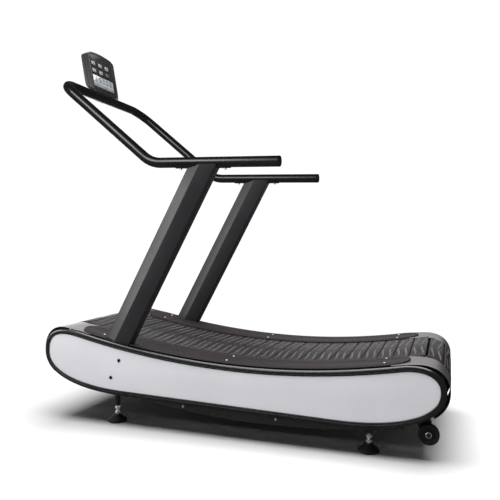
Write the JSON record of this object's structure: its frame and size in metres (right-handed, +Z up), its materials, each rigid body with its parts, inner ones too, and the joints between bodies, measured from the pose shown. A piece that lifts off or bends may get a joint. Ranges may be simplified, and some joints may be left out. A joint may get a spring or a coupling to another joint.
{
  "type": "curved manual treadmill",
  "caption": "Curved non-motorised treadmill with a slatted rubber belt, white side panels, slanted uprights, a bent tube handlebar and a small console.",
  "frame": {"origin": "on the floor under the middle of the machine's overall box", "axes": "+X towards the rear end, +Y towards the runner's right, +Z up; the runner faces -X"},
  "size_m": [1.7554, 0.79, 1.7569],
  "materials": {
    "panel_white": "satin",
    "trim_black": "satin",
    "frame_paint": "satin",
    "rail_cover": "fine grain",
    "end_strip": "satin",
    "slat_rubber": "moulded tread",
    "upright_paint": "satin powder coat",
    "tube_black": "satin powder coat",
    "cap_rubber": "matt",
    "console_plastic": "fine grain",
    "display": "clear over a grey display",
    "button_grey": "satin",
    "steel": "turned",
    "chrome": "polished",
    "pad_rubber": "matt",
    "wheel_black": "matt"
  },
  "bodies": {
    "frame": {"side_panel_left": "panel_white", "panel_trim_left": "trim_black", "outer_side_plate_left": "frame_paint", "inner_side_plate_left": "frame_paint", "wheel_bracket_left": "frame_paint", "shaft_bearing_front_left": "steel", "shaft_bearing_rear_left": "steel", "guide_rail_left": "steel", "foot_rail_cover_left": "rail_cover", "end_strip_front_left": "end_strip", "end_strip_rear_left": "end_strip", "upright_left": "upright_paint", "saddle_left": "tube_black", "grip_end_cap_left": "cap_rubber", "foot_bracket_front_left": "frame_paint", "foot_bracket_rear_left": "frame_paint", "side_panel_right": "panel_white", "panel_trim_right": "trim_black", "outer_side_plate_right": "frame_paint", "inner_side_plate_right": "frame_paint", "wheel_bracket_right": "frame_paint", "shaft_bearing_front_right": "steel", "shaft_bearing_rear_right": "steel", "guide_rail_right": "steel", "foot_rail_cover_right": "rail_cover", "end_strip_front_right": "end_strip", "end_strip_rear_right": "end_strip", "upright_right": "upright_paint", "saddle_right": "tube_black", "grip_end_cap_right": "cap_rubber", "foot_bracket_front_right": "frame_paint", "foot_bracket_rear_right": "frame_paint", "cross_member_front": "frame_paint", "cross_member_middle": "frame_paint", "cross_member_rear": "frame_paint", "slat_belt": "slat_rubber", "handlebar": "tube_black", "console_mount": "tube_black", "console_front_shell": "console_plastic", "console_back_shell": "console_plastic", "console_display": "display"},
    "front_drum_body": {"front_drum": "steel"},
    "rear_drum_body": {"rear_drum": "steel"},
    "wheel_left_body": {"transport_wheel_left": "wheel_black"},
    "foot_front_left_stud_body": {"foot_stud_front_left": "chrome"},
    "foot_front_left_pad_body": {"foot_pad_front_left": "pad_rubber"},
    "foot_rear_left_stud_body": {"foot_stud_rear_left": "chrome"},
    "foot_rear_left_pad_body": {"foot_pad_rear_left": "pad_rubber"},
    "wheel_right_body": {"transport_wheel_right": "wheel_black"},
    "foot_front_right_stud_body": {"foot_stud_front_right": "chrome"},
    "foot_front_right_pad_body": {"foot_pad_front_right": "pad_rubber"},
    "foot_rear_right_stud_body": {"foot_stud_rear_right": "chrome"},
    "foot_rear_right_pad_body": {"foot_pad_rear_right": "pad_rubber"},
    "button_1_body": {"console_button_1": "button_grey"},
    "button_2_body": {"console_button_2": "button_grey"},
    "button_3_body": {"console_button_3": "button_grey"},
    "button_4_body": {"console_button_4": "button_grey"},
    "button_5_body": {"console_button_5": "button_grey"},
    "button_6_body": {"console_button_6": "button_grey"}
  },
  "joints": [
    {"name": "front_drum_spin", "type": "hinge", "parent": "frame", "child": "front_drum_body", "pos_m": [-0.78039, 0, 0.3271], "axis": [0, 1, 0], "continuous": true},
    {"name": "rear_drum_spin", "type": "hinge", "parent": "frame", "child": "rear_drum_body", "pos_m": [0.78062, 0, 0.27047], "axis": [0, 1, 0], "continuous": true},
    {"name": "wheel_left_spin", "type": "hinge", "parent": "frame", "child": "wheel_left_body", "pos_m": [0.80028, -0.351, 0.10371], "axis": [0, 1, 0], "continuous": true},
    {"name": "foot_front_left_height", "type": "slide", "parent": "frame", "child": "foot_front_left_stud_body", "axis": [0.0297, 0, 0.9996], "range_m": [-0.02, 0.006]},
    {"name": "foot_front_left_swivel", "type": "hinge", "parent": "foot_front_left_stud_body", "child": "foot_front_left_pad_body", "pos_m": [-0.53832, -0.312, 0.0225], "axis": [0, 1, 0], "range_deg": [-6, 6]},
    {"name": "foot_rear_left_height", "type": "slide", "parent": "frame", "child": "foot_rear_left_stud_body", "axis": [0.0297, 0, 0.9996], "range_m": [-0.02, 0.006]},
    {"name": "foot_rear_left_swivel", "type": "hinge", "parent": "foot_rear_left_stud_body", "child": "foot_rear_left_pad_body", "pos_m": [0.57817, -0.312, 0.0225], "axis": [0, 1, 0], "range_deg": [-6, 6]},
    {"name": "wheel_right_spin", "type": "hinge", "parent": "frame", "child": "wheel_right_body", "pos_m": [0.80028, 0.351, 0.10371], "axis": [0, 1, 0], "continuous": true},
    {"name": "foot_front_right_height", "type": "slide", "parent": "frame", "child": "foot_front_right_stud_body", "axis": [0.0297, 0, 0.9996], "range_m": [-0.02, 0.006]},
    {"name": "foot_front_right_swivel", "type": "hinge", "parent": "foot_front_right_stud_body", "child": "foot_front_right_pad_body", "pos_m": [-0.53832, 0.312, 0.0225], "axis": [0, 1, 0], "range_deg": [-6, 6]},
    {"name": "foot_rear_right_height", "type": "slide", "parent": "frame", "child": "foot_rear_right_stud_body", "axis": [0.0297, 0, 0.9996], "range_m": [-0.02, 0.006]},
    {"name": "foot_rear_right_swivel", "type": "hinge", "parent": "foot_rear_right_stud_body", "child": "foot_rear_right_pad_body", "pos_m": [0.57817, 0.312, 0.0225], "axis": [0, 1, 0], "range_deg": [-6, 6]},
    {"name": "button_1_press", "type": "slide", "parent": "frame", "child": "button_1_body", "axis": [-0.9847, 0, -0.1745], "range_m": [0, 0.0015], "stiffness_N_per_m": 600},
    {"name": "button_2_press", "type": "slide", "parent": "frame", "child": "button_2_body", "axis": [-0.9847, 0, -0.1745], "range_m": [0, 0.0015], "stiffness_N_per_m": 600},
    {"name": "button_3_press", "type": "slide", "parent": "frame", "child": "button_3_body", "axis": [-0.9847, 0, -0.1745], "range_m": [0, 0.0015], "stiffness_N_per_m": 600},
    {"name": "button_4_press", "type": "slide", "parent": "frame", "child": "button_4_body", "axis": [-0.9847, 0, -0.1745], "range_m": [0, 0.0015], "stiffness_N_per_m": 600},
    {"name": "button_5_press", "type": "slide", "parent": "frame", "child": "button_5_body", "axis": [-0.9847, 0, -0.1745], "range_m": [0, 0.0015], "stiffness_N_per_m": 600},
    {"name": "button_6_press", "type": "slide", "parent": "frame", "child": "button_6_body", "axis": [-0.9847, 0, -0.1745], "range_m": [0, 0.0015], "stiffness_N_per_m": 600}
  ],
  "couplings": [
    {"joint": "rear_drum_spin", "follows": "front_drum_spin", "ratio": 1}
  ]
}
